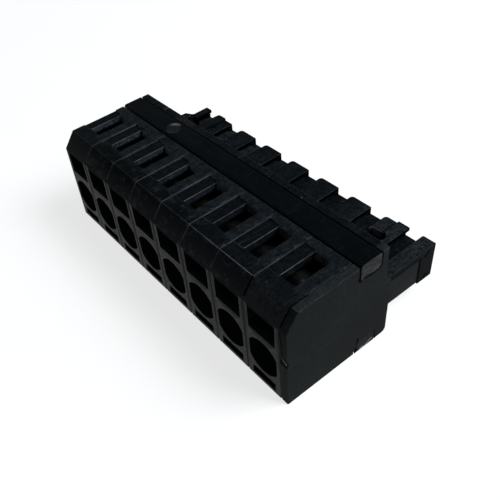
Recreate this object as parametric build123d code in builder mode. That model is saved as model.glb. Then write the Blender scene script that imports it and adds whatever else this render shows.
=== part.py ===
"""Pluggable terminal block: a row of identical pole housings, each with a cage
clamp spring and a current bar ending in a socket contact, tied together by two
bars and closed by an end plate. Millimetres, +X along the row, wires enter from
-Y, the plug mates towards +Y, +Z up. The origin is under the middle of the part,
on the surface that it rests on."""

import os

from build123d import *

# The row of poles
pole_count = 8
pitch = 5.08
end_plate_thickness = 0.98

# The outline of one pole housing, seen along the row
block_height = 12.95
front_height = 10.98
front_slope_depth = 1.58
groove_front = 9.34
collar_thickness = 0.95
collar_rise = 0.09
shoulder_step = 0.85
shoulder_height = 8.0
seam_edge = 0.09

# The plug part behind the block
plug_length = 7.93
plug_bottom = 2.5
plug_thickness = 3.42
rib_height = 0.98
end_rib_rise = 0.32
rib_flange_overhang = 0.38
rib_flange_thickness = 0.46
rib_flange_inset = 0.35
plug_side_inset = 0.76
coding_slot_start = 1.48
coding_slot_width = 2.12
coding_undercut = 0.4
coding_undercut_height = 0.66
coding_undercut_stop = 0.5

# Walls inside a pole housing
side_wall = 0.55
front_wall = 3.6
top_wall = 1.05
bottom_wall = 1.9
groove_wall = 0.65
rear_wall = 0.5
plug_wall = 0.5
plug_end_wall = 0.95
contact_channel_height = 2.0

# Openings in the front face
wire_height = 4.42
wire_mouth_radius = 2.3
wire_mouth_width = 4.0
wire_mouth_depth = 0.9
wire_bore_radius = 1.45
wire_bore_length = 1.0
wire_stop_depth = 6.0
driver_opening_width = 3.85
driver_opening_height = 2.55
driver_opening_bottom = 8.05
driver_lead_in = 0.36
relief_slot_width = 3.4
relief_slot_height = 1.1
relief_slot_bottom = 0.5
relief_slot_depth = 5.0

# The ledge and the pocket in the top face
ledge_width = 1.5
ledge_front = 3.35
ledge_length = 4.8
ledge_drop = 0.15
pocket_width = 2.1
pocket_margin = 0.1
pocket_length = 4.5

# The tie bars and the grooves that hold them
tie_bar_width = 2.84
tie_bar_height = 1.95
tie_bar_foot = 0.2
tie_bar_foot_height = 0.5
tie_bar_corner = 0.3
tie_groove_front_gap = 0.18
tie_groove_rear_gap = 0.06
tie_groove_depth = 1.85
bottom_bar_height = 1.5
gate_mark_radius = 1.15
gate_mark_depth = 0.12
gate_mark_place = 9.6

# The current bars with their socket contacts
current_bar_thickness = 0.7
current_bar_width = 2.2
current_bar_front_gap = 0.15
wire_to_bar_gap = 0.08
bar_bend_start = 1.2
bar_bend_length = 1.5
bar_bend_radius = 0.6
contact_gap = 0.06
bend_clearance = 0.3
contact_leaf_thickness = 0.35
contact_leaf_start = 0.5
contact_web_length = 3.4
contact_pinch = 0.66
contact_pinch_place = 1.9
contact_mouth = 1.5
contact_end_gap = 0.35
contact_leaf_radius = 0.9
pin_opening_size = 1.7
pin_lead_in = 0.4

# The clamp springs
spring_thickness = 0.35
spring_width = 3.4
spring_leg_place = 1.5
spring_top_gap = 0.62
spring_loop_gap = 1.25
spring_loop_straight = 0.1
spring_front_radius = 0.7
spring_foot_start = 2.4
spring_rear_gap = 0.3
spring_window_width = 2.6
spring_window_height = 3.2
spring_window_gap = 0.03
spring_rim_height = 1.3

# The end plate's tongue and nub, and the retainer holes in the plug
tongue_thickness = 0.48
tongue_root = 1.3
tongue_gap = 0.08
tongue_length = 5.6
tongue_top = 6.05
tongue_inset = 0.06
retainer_width = 1.5
retainer_rear = 2.45
far_retainer_place = 2.7
near_retainer_offset = 0.39
near_recess_length = 2.7
cheek_thickness = 1.25
cheek_rise = 1.1
cheek_slope = 0.32
tongue_edge = 0.3
nub_height = 0.9
nub_bottom = 6.0
nub_depth = 0.25

# Places that follow from the sizes above
groove_rear = groove_front + tie_groove_front_gap + tie_bar_width + tie_groove_rear_gap
collar_rear = groove_rear + collar_thickness
block_depth = collar_rear + shoulder_step
overall_depth = block_depth + plug_length
overall_length = pole_count * pitch + end_plate_thickness
row_start = -overall_length / 2
row_end = row_start + pole_count * pitch
front_face = -overall_depth / 2
pole_middle = pitch / 2
slot_floor = plug_bottom + plug_thickness
rib_top = slot_floor + rib_height
channel_top = slot_floor - plug_wall
channel_bottom = channel_top - contact_channel_height
channel_end = overall_depth - plug_end_wall
chamber_rear = collar_rear - rear_wall
groove_floor = block_height - tie_groove_depth
current_bar_bottom = wire_height + wire_bore_radius + wire_to_bar_gap
current_bar_top = current_bar_bottom + current_bar_thickness
web_top = channel_top - contact_gap
web_bottom = web_top - current_bar_thickness
bend_front = collar_rear - bar_bend_start
bend_rear = bend_front + bar_bend_length
plug_start = collar_rear - rear_wall
coding_slot_end = coding_slot_start + coding_slot_width
retainer_centre = overall_depth - retainer_rear - retainer_width / 2
post_start = block_depth + tongue_length + tongue_gap
near_side = pitch + end_plate_thickness - plug_side_inset
tongue_start = pitch - tongue_thickness + (near_side - pitch) - tongue_inset


def across(place):
    """Plane across the row: local x runs back from the front face, local y runs up."""
    return Plane(origin=(place, front_face, 0), x_dir=(0, 1, 0), z_dir=(1, 0, 0))


def facing_front(place, depth=0):
    """Plane that faces -Y: local x runs along the row, local y runs up."""
    return Plane(origin=(place, front_face + depth, 0), x_dir=(1, 0, 0), z_dir=(0, -1, 0))


def facing_up(place, height):
    """Level plane: local x runs along the row, local y runs back from the front face."""
    return Plane(origin=(place, front_face, height))


def block_outline():
    """The block's outline, with the tie bar grooves in its top and bottom."""
    foot_front = groove_front - tie_bar_foot
    collar_top = block_height + collar_rise
    return [
        (0, 0),
        (0, front_height),
        (front_slope_depth, block_height),
        (groove_front, block_height),
        (groove_front, groove_floor + tie_bar_foot_height),
        (foot_front, groove_floor),
        (groove_rear, groove_floor),
        (groove_rear, collar_top),
        (collar_rear, collar_top),
        (collar_rear, shoulder_height),
        (block_depth, shoulder_height),
        (block_depth, 0),
        (groove_rear, 0),
        (groove_rear, bottom_bar_height),
        (foot_front, bottom_bar_height),
        (groove_front, bottom_bar_height - tie_bar_foot_height),
        (groove_front, 0),
    ]


def channel_outline():
    """The contact channel in the plug, with the slope that the current bar's bend follows."""
    return [
        (chamber_rear, current_bar_top + bend_clearance),
        (bend_rear + current_bar_thickness, channel_top),
        (channel_end, channel_top),
        (channel_end, channel_bottom),
        (bend_rear - contact_gap, channel_bottom),
        (bend_rear - contact_gap, web_bottom - contact_gap),
        (bend_front - contact_gap, current_bar_bottom),
    ]


def chamber_outline():
    """The clamp chamber in the block, down to the shelf that the current bar lies on."""
    wire_stop = front_wall + wire_stop_depth
    return [
        (chamber_rear, current_bar_top + bend_clearance),
        (bend_front - contact_gap, current_bar_bottom),
        (wire_stop, current_bar_bottom),
        (wire_stop, bottom_wall),
        (front_wall, bottom_wall),
        (front_wall, block_height - top_wall),
        (groove_front - groove_wall, block_height - top_wall),
        (groove_front - groove_wall, groove_floor - groove_wall),
        (chamber_rear, groove_floor - groove_wall),
    ]


def make_wire_funnel():
    """The shape of the wire entry: a wide mouth with flat sides, a cone and a round bore."""
    bore_start = front_wall - wire_bore_length
    with BuildPart() as funnel:
        with BuildSketch(across(0)):
            with BuildLine():
                Polyline(
                    (0, wire_height),
                    (0, wire_height + wire_mouth_radius),
                    (wire_mouth_depth, wire_height + wire_mouth_radius),
                    (bore_start, wire_height + wire_bore_radius),
                    (front_wall, wire_height + wire_bore_radius),
                    (front_wall, wire_height),
                    close=True,
                )
            make_face()
        revolve(axis=Axis((0, front_face, wire_height), (0, 1, 0)))
        with BuildSketch(facing_front(0)):
            with Locations((0, wire_height)):
                Rectangle(wire_mouth_width, 3 * wire_mouth_radius)
        extrude(amount=-front_wall, mode=Mode.INTERSECT)
    return funnel.part


def make_pole_housing(index, wire_funnel):
    """One pole housing. The first and last ones have taller plug ribs and closed sides."""
    start = row_start + index * pitch
    first = index == 0
    last = index == pole_count - 1
    plug_from = plug_side_inset if first else 0
    plug_to = near_side if last else pitch
    plug_top = rib_top + (end_rib_rise if first or last else 0)
    with BuildPart() as housing:
        # The block and the plug are two prisms with softened outer edges
        with BuildSketch(across(start)):
            with BuildLine():
                Polyline(*block_outline(), close=True)
            make_face()
        extrude(amount=pitch)
        chamfer(housing.faces().filter_by(Axis.X).edges(), seam_edge)
        with BuildSketch(across(start + plug_from)):
            with Locations((plug_start, plug_bottom)):
                Rectangle(
                    overall_depth - plug_start,
                    plug_top - plug_bottom,
                    align=(Align.MIN, Align.MIN),
                )
        extrude(amount=plug_to - plug_from)

        # The hollow is open towards the next pole, which closes it
        with BuildSketch(across(start + side_wall)):
            with BuildLine():
                Polyline(*chamber_outline(), close=True)
            make_face()
        extrude(amount=pitch - side_wall, mode=Mode.SUBTRACT)
        with BuildSketch(across(start + side_wall + plug_from)):
            with BuildLine():
                Polyline(*channel_outline(), close=True)
            make_face()
        extrude(amount=plug_to - side_wall - plug_from, mode=Mode.SUBTRACT)

        # Front openings
        add(wire_funnel.moved(Location((start + pole_middle, 0, 0))), mode=Mode.SUBTRACT)
        with BuildSketch(facing_front(start + pole_middle)):
            with Locations((0, driver_opening_bottom)):
                Rectangle(
                    driver_opening_width,
                    driver_opening_height,
                    align=(Align.CENTER, Align.MIN),
                )
        extrude(amount=-front_wall, mode=Mode.SUBTRACT)
        with BuildSketch(across(start + pole_middle)):
            with BuildLine():
                Polyline(
                    (0, driver_opening_bottom - driver_lead_in),
                    (0, driver_opening_bottom),
                    (driver_lead_in, driver_opening_bottom),
                    close=True,
                )
            make_face()
        extrude(amount=driver_opening_width / 2, both=True, mode=Mode.SUBTRACT)
        with BuildSketch(facing_front(start + pole_middle)):
            with Locations((0, relief_slot_bottom)):
                Rectangle(
                    relief_slot_width,
                    relief_slot_height,
                    align=(Align.CENTER, Align.MIN),
                )
        extrude(amount=-relief_slot_depth, mode=Mode.SUBTRACT)

        # The ledge and the pocket in the top face
        with BuildSketch(facing_up(start, block_height)):
            with Locations((0, ledge_front)):
                Rectangle(ledge_width, ledge_length, align=(Align.MIN, Align.MIN))
        extrude(amount=-ledge_drop, mode=Mode.SUBTRACT)
        with BuildSketch(facing_up(start, block_height)):
            with Locations((ledge_width, ledge_front + pocket_margin)):
                Rectangle(pocket_width, pocket_length, align=(Align.MIN, Align.MIN))
        extrude(amount=-(top_wall + seam_edge), mode=Mode.SUBTRACT)

        # The coding slot on the plug, with an undercut under both of its edges
        with BuildSketch(facing_up(start, slot_floor)):
            with Locations((coding_slot_start, block_depth)):
                Rectangle(coding_slot_width, plug_length, align=(Align.MIN, Align.MIN))
        extrude(amount=2 * rib_height, mode=Mode.SUBTRACT)
        with BuildSketch(facing_up(start, slot_floor)):
            with Locations((coding_slot_start - coding_undercut, block_depth)):
                Rectangle(
                    coding_slot_width + 2 * coding_undercut,
                    plug_length - coding_undercut_stop,
                    align=(Align.MIN, Align.MIN),
                )
        extrude(amount=coding_undercut_height, mode=Mode.SUBTRACT)

        if first or last:
            # A flange on the taller rib reaches over the coding slot
            flange_from = plug_side_inset if first else rib_flange_inset
            flange_to = coding_slot_start + rib_flange_overhang
            with BuildSketch(facing_up(start, plug_top)):
                with Locations((0, block_depth)):
                    Rectangle(coding_slot_start, plug_length, align=(Align.MIN, Align.MIN))
            extrude(amount=rib_top - plug_top, mode=Mode.SUBTRACT)
            with BuildSketch(facing_up(start, plug_top)):
                with Locations((flange_from, block_depth)):
                    Rectangle(flange_to - flange_from, plug_length, align=(Align.MIN, Align.MIN))
            extrude(amount=-rib_flange_thickness)

        # The pin opening in the mating face
        pin_height = (channel_bottom + web_bottom) / 2
        with BuildSketch(facing_front(start + pole_middle, overall_depth)):
            with Locations((0, pin_height)):
                Rectangle(pin_opening_size, pin_opening_size)
        extrude(amount=plug_end_wall, mode=Mode.SUBTRACT)
        with BuildSketch(facing_front(start + pole_middle, overall_depth - pin_lead_in)):
            with Locations((0, pin_height)):
                Rectangle(pin_opening_size, pin_opening_size)
        extrude(amount=-pin_lead_in, taper=-45, mode=Mode.SUBTRACT)

        if last:
            # The rear post closes the last channel, and the tongue's seat is before it
            with BuildSketch(across(start + tongue_start)):
                with Locations((post_start, plug_bottom)):
                    Rectangle(
                        overall_depth - post_start,
                        slot_floor - plug_bottom,
                        align=(Align.MIN, Align.MIN),
                    )
            extrude(amount=near_side - tongue_start)
            with BuildSketch(across(start + tongue_start)):
                with Locations((block_depth - tongue_root, plug_bottom)):
                    Rectangle(
                        post_start - block_depth + tongue_root,
                        tongue_top + tongue_gap - plug_bottom,
                        align=(Align.MIN, Align.MIN),
                    )
            extrude(amount=near_side - tongue_start, mode=Mode.SUBTRACT)
            with BuildSketch(across(start + pitch)):
                with Locations((0, 0)):
                    Rectangle(block_depth, block_height, align=(Align.MIN, Align.MIN))
            extrude(amount=near_side - pitch, mode=Mode.SUBTRACT)

        # A cheek beside the far retainer hole rises from the plug to the block
        if first:
            with BuildSketch(across(start + plug_from)):
                with BuildLine():
                    Polyline(
                        (block_depth, slot_floor - plug_wall / 2),
                        (collar_rear, shoulder_height),
                        (collar_rear, rib_top + cheek_rise + cheek_slope),
                        (retainer_centre - retainer_width / 3, rib_top + cheek_rise),
                        (retainer_centre + retainer_width / 2, plug_top),
                        (retainer_centre + retainer_width / 2, slot_floor - plug_wall / 2),
                        close=True,
                    )
                make_face()
            extrude(amount=cheek_thickness)

        # The retainer holes, and the recess that leads to the near one
        near_hole = row_end - pitch + near_retainer_offset
        recess = near_hole + retainer_width / 2 - near_recess_length / 2
        if start < recess + near_recess_length / 2 and recess - near_recess_length / 2 < start + pitch:
            with BuildSketch(facing_up(recess, slot_floor)):
                with Locations((0, retainer_centre)):
                    SlotOverall(near_recess_length, retainer_width)
            extrude(amount=2 * rib_height, mode=Mode.SUBTRACT)
        for hole in (row_start + far_retainer_place, near_hole):
            if start < hole + retainer_width / 2 and hole - retainer_width / 2 < start + pitch:
                with BuildSketch(facing_up(hole, channel_top - contact_gap)):
                    with Locations((0, retainer_centre)):
                        Circle(retainer_width / 2)
                extrude(amount=3 * rib_height, mode=Mode.SUBTRACT)
    return housing.part


def make_end_plate():
    """The plate that closes the last pole, with a tongue over the side of the plug."""
    with BuildPart() as plate:
        with BuildSketch(across(row_end)):
            with BuildLine():
                Polyline(*block_outline(), close=True)
            make_face()
        extrude(amount=end_plate_thickness)
        chamfer(plate.faces().filter_by(Axis.X).edges(), seam_edge)
        with BuildSketch(across(row_end)):
            with BuildLine():
                Polyline(
                    (0, nub_bottom),
                    (nub_depth, nub_bottom + nub_height / 3),
                    (nub_depth, nub_bottom + nub_height * 2 / 3),
                    (0, nub_bottom + nub_height),
                    close=True,
                )
            make_face()
        extrude(amount=end_plate_thickness, mode=Mode.SUBTRACT)
        with BuildSketch(across(row_end - pitch + tongue_start)):
            with Locations((block_depth - tongue_root, plug_bottom)):
                Rectangle(
                    tongue_root + tongue_length,
                    tongue_top - plug_bottom,
                    align=(Align.MIN, Align.MIN),
                )
        extrude(amount=tongue_thickness)
        outer_face = plate.faces().filter_by(Axis.X).sort_by(Axis.Y)[-1]
        chamfer(outer_face.edges().sort_by(Axis.Z)[0], tongue_edge)
    return plate.part


def make_top_tie_bar():
    """The bar pressed into the groove in the top faces, with a gate mark near its far end."""
    front = groove_front + tie_groove_front_gap
    rear = front + tie_bar_width
    top = groove_floor + tie_bar_height
    with BuildPart() as bar:
        with BuildSketch(across(-overall_length / 2)):
            with BuildLine():
                Polyline(
                    (front - tie_bar_foot, groove_floor),
                    (front, groove_floor + tie_bar_foot_height),
                    (front, top),
                    (rear, top),
                    (rear, groove_floor),
                    close=True,
                )
            make_face()
        extrude(amount=overall_length)
        fillet(bar.faces().sort_by(Axis.Z)[-1].edges().filter_by(Axis.X), tie_bar_corner)
        with BuildSketch(facing_up(row_start + gate_mark_place, top)):
            with Locations((0, (front + rear) / 2)):
                Circle(gate_mark_radius)
        extrude(amount=-gate_mark_depth, mode=Mode.SUBTRACT)
    return bar.part


def make_bottom_tie_bar():
    """The bar pressed into the groove in the bottom faces, flush with them."""
    front = groove_front + tie_groove_front_gap
    rear = front + tie_bar_width
    with BuildPart() as bar:
        with BuildSketch(across(-overall_length / 2)):
            with BuildLine():
                Polyline(
                    (front, 0),
                    (front, bottom_bar_height - tie_bar_foot_height),
                    (front - tie_bar_foot, bottom_bar_height),
                    (rear, bottom_bar_height),
                    (rear, 0),
                    close=True,
                )
            make_face()
        extrude(amount=overall_length)
    return bar.part


def make_current_bar(index):
    """The strip that the wire is clamped to, bent down into a two leaf socket contact."""
    middle = row_start + index * pitch + pole_middle
    half_thickness = current_bar_thickness / 2
    leaf_line = current_bar_width / 2 - contact_leaf_thickness / 2
    pinch_line = (contact_pinch + contact_leaf_thickness) / 2
    mouth_line = (contact_mouth + contact_leaf_thickness) / 2
    with BuildPart() as bar:
        with BuildSketch(across(middle - current_bar_width / 2)):
            with BuildLine() as strip_line:
                FilletPolyline(
                    (front_wall + current_bar_front_gap, current_bar_bottom + half_thickness),
                    (bend_front + half_thickness / 2, current_bar_bottom + half_thickness),
                    (bend_rear + half_thickness / 2, web_bottom + half_thickness),
                    (bend_rear + contact_web_length, web_bottom + half_thickness),
                    radius=bar_bend_radius,
                )
            trace(strip_line.line, line_width=current_bar_thickness)
        extrude(amount=current_bar_width)
        for side in (-1, 1):
            with BuildSketch(facing_up(middle, channel_bottom + contact_gap)):
                with BuildLine() as leaf_plan:
                    FilletPolyline(
                        (side * leaf_line, bend_rear + contact_leaf_start),
                        (side * leaf_line, bend_rear + contact_web_length),
                        (side * pinch_line, channel_end - contact_pinch_place),
                        (side * mouth_line, channel_end - contact_end_gap),
                        radius=contact_leaf_radius,
                    )
                trace(leaf_plan.line, line_width=contact_leaf_thickness)
            extrude(amount=web_top - channel_bottom - contact_gap)
    return bar.part


def make_clamp_spring(index):
    """The cage clamp: a looped strip whose window pulls the wire up against the bar."""
    middle = row_start + index * pitch + pole_middle
    foot_height = current_bar_top + spring_thickness / 2
    bend_height = block_height - top_wall - spring_top_gap - spring_thickness / 2
    loop_height = groove_floor - groove_wall - spring_loop_gap - spring_thickness / 2
    loop_radius = (loop_height - foot_height - spring_loop_straight) / 2
    leg_line = front_wall + spring_leg_place
    loop_rear = chamber_rear - spring_rear_gap - spring_thickness / 2
    window_bottom = current_bar_bottom - spring_window_gap
    with BuildPart() as spring:
        with BuildSketch(across(middle - spring_width / 2)):
            with BuildLine() as strip_line:
                FilletPolyline(
                    (front_wall + spring_foot_start, foot_height),
                    (loop_rear, foot_height),
                    (loop_rear, loop_height),
                    (leg_line, bend_height),
                    (leg_line, window_bottom - spring_rim_height),
                    radius=(loop_radius, loop_radius, spring_front_radius),
                )
            trace(strip_line.line, line_width=spring_thickness)
        extrude(amount=spring_width)
        with BuildSketch(facing_front(middle, leg_line)):
            with Locations((0, window_bottom)):
                Rectangle(
                    spring_window_width,
                    spring_window_height,
                    align=(Align.CENTER, Align.MIN),
                )
        extrude(amount=spring_thickness, both=True, mode=Mode.SUBTRACT)
    return spring.part


def save(piece, name):
    """Label a finished piece and write it under its own name."""
    piece.label = name
    export_step(piece, f"parts/{name}.step")


os.makedirs("parts", exist_ok=True)
wire_funnel = make_wire_funnel()
for pole in range(pole_count):
    save(make_pole_housing(pole, wire_funnel), f"pole_housing_{pole + 1}")
    save(make_current_bar(pole), f"current_bar_{pole + 1}")
    save(make_clamp_spring(pole), f"clamp_spring_{pole + 1}")
save(make_end_plate(), "end_plate")
save(make_top_tie_bar(), "top_tie_bar")
save(make_bottom_tie_bar(), "bottom_tie_bar")
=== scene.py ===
"""Looks of the pluggable terminal block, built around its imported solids."""

import math

import bmesh
import bpy
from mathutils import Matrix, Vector


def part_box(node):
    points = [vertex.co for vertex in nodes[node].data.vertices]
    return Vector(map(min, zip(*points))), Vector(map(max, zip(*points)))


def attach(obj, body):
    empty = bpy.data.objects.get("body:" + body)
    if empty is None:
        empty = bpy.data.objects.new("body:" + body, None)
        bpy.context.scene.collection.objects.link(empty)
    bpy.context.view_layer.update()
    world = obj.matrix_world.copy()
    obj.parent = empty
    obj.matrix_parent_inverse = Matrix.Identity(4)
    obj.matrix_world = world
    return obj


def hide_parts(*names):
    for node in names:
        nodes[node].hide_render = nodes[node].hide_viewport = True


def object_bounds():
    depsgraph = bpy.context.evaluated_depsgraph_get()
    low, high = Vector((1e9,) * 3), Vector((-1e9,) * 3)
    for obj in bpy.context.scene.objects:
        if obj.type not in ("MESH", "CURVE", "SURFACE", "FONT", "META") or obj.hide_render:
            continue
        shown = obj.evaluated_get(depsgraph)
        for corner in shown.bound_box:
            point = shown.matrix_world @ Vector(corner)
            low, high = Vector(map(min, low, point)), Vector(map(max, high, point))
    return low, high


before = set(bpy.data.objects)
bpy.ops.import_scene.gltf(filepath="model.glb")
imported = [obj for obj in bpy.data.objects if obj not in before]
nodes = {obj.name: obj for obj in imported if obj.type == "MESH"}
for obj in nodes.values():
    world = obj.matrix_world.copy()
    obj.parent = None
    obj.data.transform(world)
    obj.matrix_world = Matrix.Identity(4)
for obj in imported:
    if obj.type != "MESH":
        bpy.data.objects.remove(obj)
solid_box = [list(corner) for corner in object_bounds()]

# Sizes in millimetres: x along the row, y back and z up from the block's far lower front corner
MM = 0.001
POLE_COUNT = 8
HOUSINGS = [f"pole_housing_{pole}" for pole in range(1, POLE_COUNT + 1)]
CURRENT_BARS = [f"current_bar_{pole}" for pole in range(1, POLE_COUNT + 1)]
SPRINGS = [f"clamp_spring_{pole}" for pole in range(1, POLE_COUNT + 1)]
CORNER = Vector(solid_box[0])
PITCH = (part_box("pole_housing_2")[0].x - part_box("pole_housing_1")[0].x) / MM
ROW_LENGTH = POLE_COUNT * PITCH
DEPTH = (solid_box[1][1] - solid_box[0][1]) / MM
BLOCK_TOP = 12.95
SLOPE_DEPTH = 1.58
FRONT_HEIGHT = 10.98
OPENING_TOP = 10.6
OPENING_SIDE = 0.615
TOP_WALL = 1.05
POCKET_FRONT = 3.3
POCKET_REAR = 8.1
LEDGE_WIDTH = 1.5
GROOVE_FRONT = 9.3
COLLAR_REAR = 13.37
PLUG_FRONT = 14.3
SLOT_END = 3.6
SLOT_FLOOR = 5.92
PLUG_SIDE = 40.86
PLUG_BOTTOM = 2.5
TONGUE_TOP = 6.05
TONGUE_END = 19.82
TONGUE_RISE = 0.4
END_SINK = 0.012

# The recess in the last coding slot but one, and the one in the ramp at the far end of the plug
NEAR_RECESS_MIDDLE = (35.35, 18.95)
NEAR_RECESS_LEFT = NEAR_RECESS_MIDDLE[0] - 1.32
FAR_RECESS_LEFT, FAR_RECESS_RIGHT = 0.45, 1.7
FAR_RECESS_FRONT, FAR_RECESS_REAR = 18.4, 19.45
FAR_RECESS_FLOOR = 6.6

# The round mark that the moulding gate left on the top tie bar
GATE_CENTRE = (9.6, 10.935)
GATE_SHARE = 0.83
GATE_RADIUS = 1.15 * GATE_SHARE

# How near counts as one point or as on a line, and how edges are rounded
SAME_POINT = 0.002
NEAR = 0.02
EDGE_RADIUS = 0.05
STRIP_EDGE_RADIUS = 0.03
FINE_RADIUS = 0.2
FLAT_ANGLE = 0.5
SMOOTH_ANGLE = 38
SHARP_ANGLE = 50
# The edge wear, partly a painted highlight, where no other amount is given
PLAIN_WEAR_AND_HIGHLIGHT = 0.5


def place(x, y, z):
    """The point x along the row, y back from the front face and z up, in metres."""
    return CORNER + Vector((x, y, z)) * MM


# Shader tools
def new_group(name, inputs, outputs):
    """An empty shader node group with named sockets, and its two ends."""
    tree = bpy.data.node_groups.new(name, "ShaderNodeTree")
    for label, kind, value in inputs:
        socket = tree.interface.new_socket(label, in_out="INPUT", socket_type="NodeSocket" + kind)
        if value is not None:
            socket.default_value = value
    for label, kind in outputs:
        tree.interface.new_socket(label, in_out="OUTPUT", socket_type="NodeSocket" + kind)
    return tree, tree.nodes.new("NodeGroupInput").outputs, tree.nodes.new("NodeGroupOutput").inputs


def set_inputs(tree, made, values):
    """Link or set a node's inputs, by number or name."""
    for key, value in dict(values).items():
        socket = made.inputs[key]
        if isinstance(value, bpy.types.NodeSocket):
            tree.links.new(value, socket)
        else:
            socket.default_value = value


def node(tree, kind, values=(), **settings):
    """A node with its settings and its inputs."""
    made = tree.nodes.new("ShaderNode" + kind)
    for key, value in settings.items():
        setattr(made, key, value)
    set_inputs(tree, made, values)
    return made


def use_group(tree, group, values=()):
    """What a shared group puts out, for these inputs."""
    made = node(tree, "Group", node_tree=group)
    set_inputs(tree, made, values)
    return made.outputs


def maths(tree, operation, *values):
    return node(tree, "Math", enumerate(values), operation=operation).outputs[0]


def times(tree, first, *others):
    for other in others:
        first = maths(tree, "MULTIPLY", first, other)
    return first


def scaled(tree, vector, factors):
    return node(tree, "VectorMath", {0: vector, 1: factors}, operation="MULTIPLY").outputs[0]


def brightened(tree, tone, factor):
    return node(tree, "VectorMath", {0: tone, "Scale": factor}, operation="SCALE").outputs[0]


def distance(tree, vector, point):
    return node(tree, "VectorMath", {0: vector, 1: point}, operation="DISTANCE").outputs[1]


def split(tree, vector):
    return node(tree, "SeparateXYZ", {0: vector}).outputs


def blend(tree, amount, first, second):
    """Mix two tones, each of them linked or a red, green and blue."""
    tones = [(*tone, 1) if isinstance(tone, tuple) else tone for tone in (first, second)]
    return node(tree, "Mix", {0: amount, 6: tones[0], 7: tones[1]}, data_type="RGBA").outputs[2]


def ramp(tree, value, low, high, to_low=0.0, to_high=1.0):
    """A smooth rise from to_low to to_high, or a fall where low is the larger."""
    return node(
        tree,
        "MapRange",
        {0: value, 1: low, 2: high, 3: to_low, 4: to_high},
        interpolation_type="SMOOTHSTEP",
    ).outputs[0]


def band(tree, value, low, high, soft):
    """1 between low and high, falling to 0 over the soft width outside them."""
    rise = ramp(tree, value, low - soft, low)
    fall = ramp(tree, value, high, high + soft, 1.0, 0.0)
    return maths(tree, "MULTIPLY", rise, fall)


def noise(tree, vector, scale, detail=3.0, roughness=0.5):
    return node(
        tree, "TexNoise", {"Vector": vector, "Scale": scale, "Detail": detail, "Roughness": roughness}
    ).outputs[0]


def new_material(name, colour, roughness, level=0.2, metallic=0.0):
    """A material and its tree, with the values that are the same all over the surface."""
    material = bpy.data.materials.new(name)
    material.use_nodes = True
    tree = material.node_tree
    shader = tree.nodes["Principled BSDF"]
    shader.inputs["Base Color"].default_value = (*colour, 1)
    shader.inputs["Roughness"].default_value = roughness
    shader.inputs["Specular IOR Level"].default_value = level
    shader.inputs["Metallic"].default_value = metallic
    return material, tree, shader


# Shared effects
def make_block_place():
    """Millimetres from the block's far lower front corner, and the place across one pole."""
    tree, _, result = new_group(
        "block_place",
        [],
        [
            ("Place", "Vector"),
            ("Along", "Float"),
            ("Across", "Float"),
            ("Back", "Float"),
            ("Height", "Float"),
        ],
    )
    where = node(tree, "TexCoord").outputs["Object"]
    moved = node(tree, "VectorMath", {0: where, 1: -CORNER}, operation="ADD").outputs[0]
    millimetres = scaled(tree, moved, (1 / MM,) * 3)
    along, back, height = split(tree, millimetres)
    poles = maths(tree, "DIVIDE", along, PITCH)
    across = maths(tree, "MULTIPLY", maths(tree, "FRACT", poles), PITCH)
    for socket, value in zip(result, (millimetres, along, across, back, height)):
        tree.links.new(value, socket)
    return tree


def make_mould_grain():
    """The fine grain of a spark eroded mould: a height, and a shade around 1."""
    tree, given, result = new_group(
        "mould_grain",
        [("Place", "Vector", None), ("Grain Size", "Float", 0.12), ("Contrast", "Float", 0.2)],
        [("Height", "Float"), ("Shade", "Float")],
    )
    scale = maths(tree, "DIVIDE", 1.0, given["Grain Size"])
    fine = noise(tree, given["Place"], scale, 2.0, 0.6)
    coarse = noise(tree, given["Place"], maths(tree, "MULTIPLY", scale, 0.31), 1.0)
    height = maths(tree, "MULTIPLY_ADD", coarse, 0.5, fine)
    spread = maths(tree, "MULTIPLY", maths(tree, "SUBTRACT", height, 0.75), given["Contrast"])
    tree.links.new(height, result["Height"])
    tree.links.new(maths(tree, "MULTIPLY_ADD", spread, 4.0, 1.0), result["Shade"])
    return tree


def make_worn_and_highlit_edges():
    """Where the rounded edges are pale, in broken lengths: partly rubbed wear, partly a painted highlight."""
    tree, given, result = new_group(
        "worn_and_highlit_edges", [("Place", "Vector", None), ("Amount", "Float", 0.5)], [("Mask", "Float")]
    )
    rounded = node(tree, "Attribute", attribute_name="rounded").outputs["Fac"]
    patches = noise(tree, given["Place"], 0.9, 4.0, 0.65)
    start = maths(tree, "SUBTRACT", 0.95, given["Amount"])
    worn = maths(tree, "DIVIDE", maths(tree, "SUBTRACT", patches, start), 0.25)
    clear = node(tree, "Clamp", {0: worn}).outputs[0]
    kept = maths(tree, "MULTIPLY_ADD", clear, 0.7, 0.3)
    tree.links.new(maths(tree, "MULTIPLY", kept, rounded), result["Mask"])
    return tree


def make_specks():
    """Tiny pale grains of dust and nicks, each in its own cell."""
    tree, given, result = new_group(
        "specks",
        [
            ("Place", "Vector", None),
            ("Spacing", "Float", 2.0),
            ("Size", "Float", 0.05),
            ("Share", "Float", 0.3),
        ],
        [("Mask", "Float")],
    )
    scale = maths(tree, "DIVIDE", 1.0, given["Spacing"])
    cells = node(tree, "TexVoronoi", {"Vector": given["Place"], "Scale": scale})
    away = maths(tree, "MULTIPLY", cells.outputs["Distance"], given["Spacing"])
    pick = node(tree, "SeparateColor", {0: cells.outputs["Color"]}).outputs
    kept = maths(tree, "LESS_THAN", pick[0], given["Share"])
    size = maths(tree, "MULTIPLY", given["Size"], maths(tree, "MULTIPLY_ADD", pick[1], 1.2, 0.4))
    inside = ramp(tree, away, size, maths(tree, "MULTIPLY", size, 0.4))
    tree.links.new(maths(tree, "MULTIPLY", inside, kept), result["Mask"])
    return tree


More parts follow.
